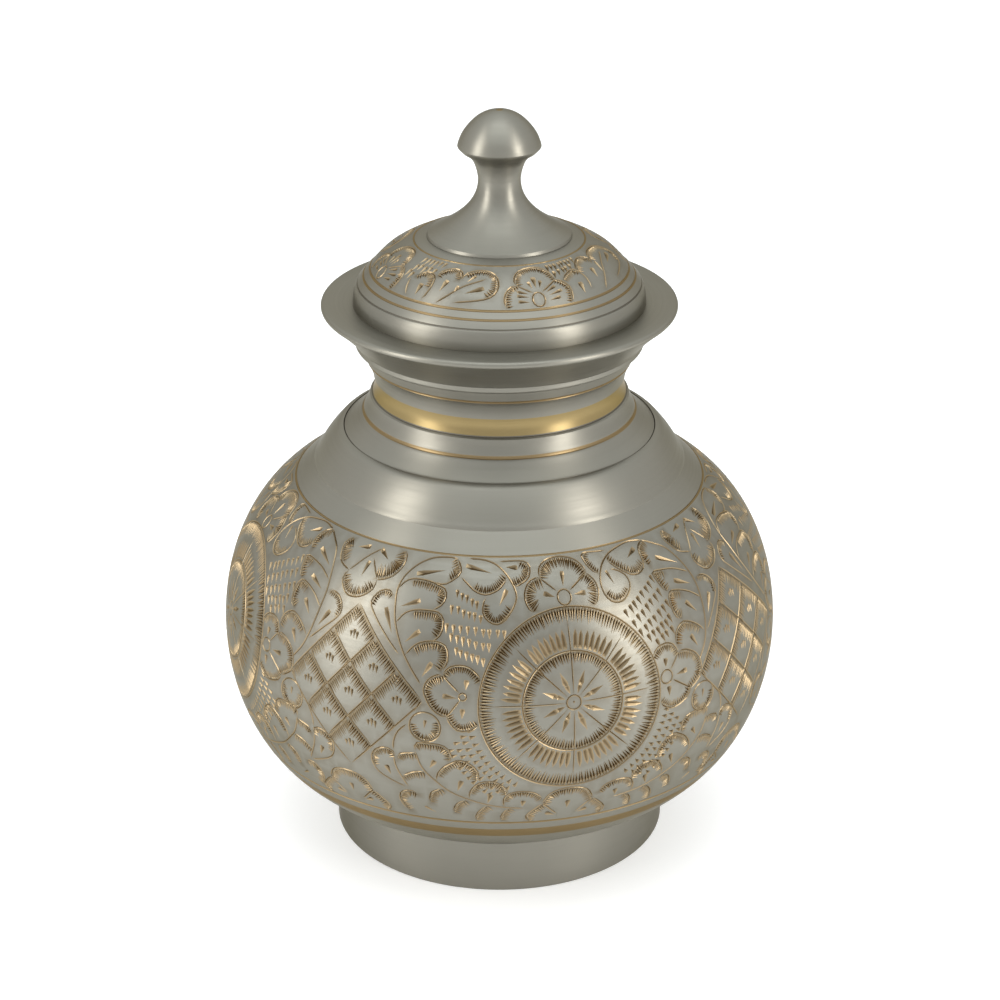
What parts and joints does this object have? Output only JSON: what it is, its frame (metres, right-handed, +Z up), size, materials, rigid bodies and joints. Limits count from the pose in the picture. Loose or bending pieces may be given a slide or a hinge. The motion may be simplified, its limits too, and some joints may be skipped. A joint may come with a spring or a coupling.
{
  "type": "cremation urn",
  "caption": "Round-bellied engraved urn with a flared brim, a loose domed lid under a mushroom finial, and a low drum foot.",
  "frame": {"origin": "centre of the underside, on the ground plane", "axes": "+Z up along the turning axis, -Y towards the viewer of the picture"},
  "size_m": [0.198, 0.198, 0.2692],
  "materials": {
    "pewter": "satin pewter-coloured finish over brass, cut through to bare brass by the engraving, with one polished brass band and thin brass lines"
  },
  "bodies": {
    "root": {"urn_body": "pewter", "urn_lid": "pewter", "lid_finial": "pewter"}
  },
  "joints": []
}
